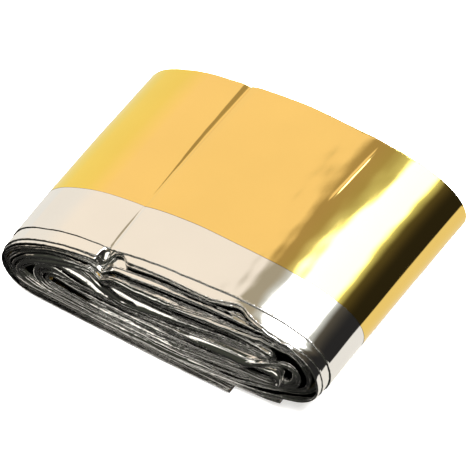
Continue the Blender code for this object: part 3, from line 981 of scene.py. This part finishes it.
# one side of the film: colour times shade, roughness and more near a fold, and two bumps
def filmFinish(material, colours):
    material.use_nodes = True
    write = NodeWriter(material.node_tree)
    shader = material.node_tree.nodes["Principled BSDF"].inputs
    shader["Metallic"].default_value = 1.0
    place = write.add("TexCoord").outputs["Object"]
    sheet = write.add("UVMap", uv_map="sheet").outputs["UV"]
    fold = write.add("Attribute", attribute_name="fromFold").outputs["Fac"]
    grain = write.add("Group", {"Place": place}, node_tree=grainGroup).outputs
    sockets = {"Sheet": sheet, "From Fold": fold}
    beads = write.add("Group", sockets, node_tree=beadGroup).outputs
    axes = write.add("SeparateXYZ", {"Vector": place})
    # the colour ramp along the packet: the gold's changes of tint in it are painted reflection over
    # the film's own colour
    along = write.mapped(axes.outputs["X"], -halfLength * mm, halfLength * mm)
    ramp = write.add("ValToRGB", {"Fac": along})
    stops = ramp.color_ramp.elements
    while len(stops) < len(colours):
        stops.new(0.5)
    for stop, (at, colour) in zip(stops, colours):
        stop.position = (at + halfLength) / winding["length"]
        stop.color = (*colour, 1.0)
    colour = write.mix(1.0, ramp.outputs["Color"], grain["Shade"], "MULTIPLY")
    dulled = (beads["Near Fold"], finish["beadDull"], grain["Roughness"])
    write.link(colour, shader["Base Color"])
    write.link(write.join("MULTIPLY_ADD", *dulled), shader["Roughness"])
    sockets = {"Height": grain["Height"], "Distance": finish["grainHeight"]}
    normal = write.add("Bump", sockets).outputs["Normal"]
    sockets = {"Height": beads["Height"], "Distance": finish["beadHeight"], "Normal": normal}
    write.link(write.add("Bump", sockets).outputs["Normal"], shader["Normal"])


filmFinish(goldFilm, finish["gold"])
filmFinish(silverFilm, finish["silver"])
print("finishes:", len(filmSides))

# floor, lamps, surroundings and camera: lengths in metres, angles in degrees, lookAt in mm
studio = {
    "floorSize": 3.0,
    "floorLook": {
        "Base Color": (0.9, 0.9, 0.9, 1.0), "Roughness": 0.9, "Specular IOR Level": 0.0,
        "Emission Color": (0.9, 0.9, 0.9, 1.0), "Emission Strength": 0.55,
    },
    "darkest": (0.022, 0.021, 0.020, 1.0),  # of the surroundings between the panels
    "backdrop": (1.0, 1.0, 1.0, 1.0),
    "azimuth": 33.0, "elevation": 49.7, "distance": 2.0, "nearest": 0.1, "farthest": 20.0,
    "pixelsPerMm": 3.062, "picture": 470, "sensor": 36.0,
    "lookAt": (1.5, 0.0, 18.0),
}

bpy.ops.mesh.primitive_plane_add(size=studio["floorSize"])
floor = bpy.context.object
floor.name = "floor"
floorFinish = bpy.data.materials.new("floorFinish")
floorFinish.use_nodes = True
for socket, value in studio["floorLook"].items():
    floorFinish.node_tree.nodes["Principled BSDF"].inputs[socket].default_value = value
floor.data.materials.append(floorFinish)
floor.visible_glossy = False  # the film shows the studio around it, not the lit table

# radiance by direction, as panels laid over each other: name, colour, then soft steps along
# axes, none at the first value and full at the second
panels = [
    ("frontAbove", (0.05, 0.053, 0.041), [("y", 0.1, -0.1), ("z", -0.2, 0.5)]),
    ("tableFront", (0.026, 0.026, 0.023), [
        ("y", 0.0, -0.15), ("z", -0.72, -0.5), ("z", -0.02, -0.25),
    ]),
    ("lampSpill", (0.10, 0.085, 0.06), [("x", 0.70, 0.25), ("y", 0.1, 0.3), ("z", -0.2, 0.1)]),
    ("betweenPanels", (0.41, 0.345, 0.23), [("x", 0.16, 0.0), ("y", -0.08, 0.06), ("z", 0.2, 0.4)]),
    ("creamSide", (0.985, 0.862, 0.70), [("x", -0.285, -0.33), ("y", -0.08, 0.06)]),
    ("yellowSide", (0.91, 0.835, 0.72), [
        ("x", -0.62, -0.76), ("y", 0.2, 0.4), ("z", -0.24, -0.10), ("z", 0.42, 0.18),
    ]),
    ("lampHalo", (0.74, 0.74, 0.66), [
        ("x", -0.215, -0.115), ("x", 0.36, 0.15), ("y", 0.1, 0.25), ("z", 0.3, 0.4),
    ]),
    ("lampStrip", (5.0, 4.95, 4.9), [
        ("x", -0.15, -0.085), ("x", 0.21, 0.12), ("y", 0.1, 0.25), ("z", 0.3, 0.4),
    ]),
    ("topLamp", (1.45, 1.40, 1.27), [("y", -0.58, -0.50), ("y", -0.26, -0.36), ("z", 0.6, 0.75)]),
    ("paleGround", (0.88, 0.84, 0.76), [("y", -0.1, 0.1), ("z", -0.04, -0.10)]),
]
world = bpy.data.worlds.new("studio")
bpy.context.scene.world = world
world.use_nodes = True
write = NodeWriter(world.node_tree)
direction = write.add("TexCoord").outputs["Generated"]
axisOf = write.add("SeparateXYZ", {"Vector": direction}).outputs


# a soft step along one axis: 0 at one value, 1 at the other, and smooth between them
def softStep(axis, none, full):
    low, high = sorted((none, full))
    step = write.mapped(axisOf[axis.upper()], low, high, interpolation_type="SMOOTHSTEP")
    return step if none < full else write.join("SUBTRACT", 1.0, step)


radiance = write.add("RGB").outputs[0]
radiance.default_value = studio["darkest"]
for name, colour, steps in panels:
    mask = softStep(*steps[0])
    for step in steps[1:]:
        mask = write.join("MULTIPLY", mask, softStep(*step))
    radiance = write.mix(mask, radiance, (*colour, 1.0))
seen = write.add("LightPath").outputs["Is Camera Ray"]
backdrop = write.mix(seen, radiance, studio["backdrop"])
write.link(backdrop, world.node_tree.nodes["Background"].inputs["Color"])

# a wide lamp for the floor and a low one for the lowest folds: place and sizes in mm, turn
# about X in degrees, power in watts or as a radiance
lamps = {
    "floorFill": {
        "place": (0.0, 0.0, 2000.0), "sizes": (2400.0, 2400.0), "turn": 0.0,
        "colour": (1.0, 1.0, 1.0), "watts": 300.0, "unseenBy": "glossy",
    },
    "tableGlow": {
        "place": (2.0, -50.6, 0.4), "sizes": (58.0, 6.0), "turn": 180.0,
        "colour": (1.0, 0.96, 0.87), "radiance": 1.1, "unseenBy": "diffuse",
    },
}


# an area lamp: its power is the watts given, or the radiance times pi times its area
def addLamp(name, lamp):
    data = bpy.data.lights.new(name, "AREA")
    data.shape = "RECTANGLE"
    data.size, data.size_y = (size * mm for size in lamp["sizes"])
    data.color = lamp["colour"]
    if "watts" in lamp:
        data.energy = lamp["watts"]
    else:
        data.energy = lamp["radiance"] * math.pi * data.size * data.size_y
    thing = bpy.data.objects.new(name, data)
    bpy.context.collection.objects.link(thing)
    thing.location = [value * mm for value in lamp["place"]]
    thing.rotation_euler = (math.radians(lamp["turn"]), 0.0, 0.0)
    thing.visible_camera = False
    setattr(thing, "visible_" + lamp["unseenBy"], False)


for name, lamp in lamps.items():
    addLamp(name, lamp)
print("studio:", len(panels), "panels,", len(lamps), "lamps")

azimuth, elevation = math.radians(studio["azimuth"]), math.radians(studio["elevation"])
towardsCamera = (
    math.sin(azimuth) * math.cos(elevation),
    -math.cos(azimuth) * math.cos(elevation),
    math.sin(elevation),
)
cameraData = bpy.data.cameras.new("camera")
camera = bpy.data.objects.new("camera", cameraData)
bpy.context.collection.objects.link(camera)
camera.location = [
    at * mm + share * studio["distance"] for at, share in zip(studio["lookAt"], towardsCamera)
]
camera.rotation_euler = (math.radians(90.0 - studio["elevation"]), 0.0, azimuth)
cameraData.sensor_width = studio["sensor"]
pictureWidth = studio["picture"] / studio["pixelsPerMm"] * mm
cameraData.lens = studio["sensor"] * studio["distance"] / pictureWidth
cameraData.clip_start = studio["nearest"]
cameraData.clip_end = studio["farthest"]
bpy.context.scene.camera = camera
bpy.context.scene.view_settings.view_transform = "Standard"
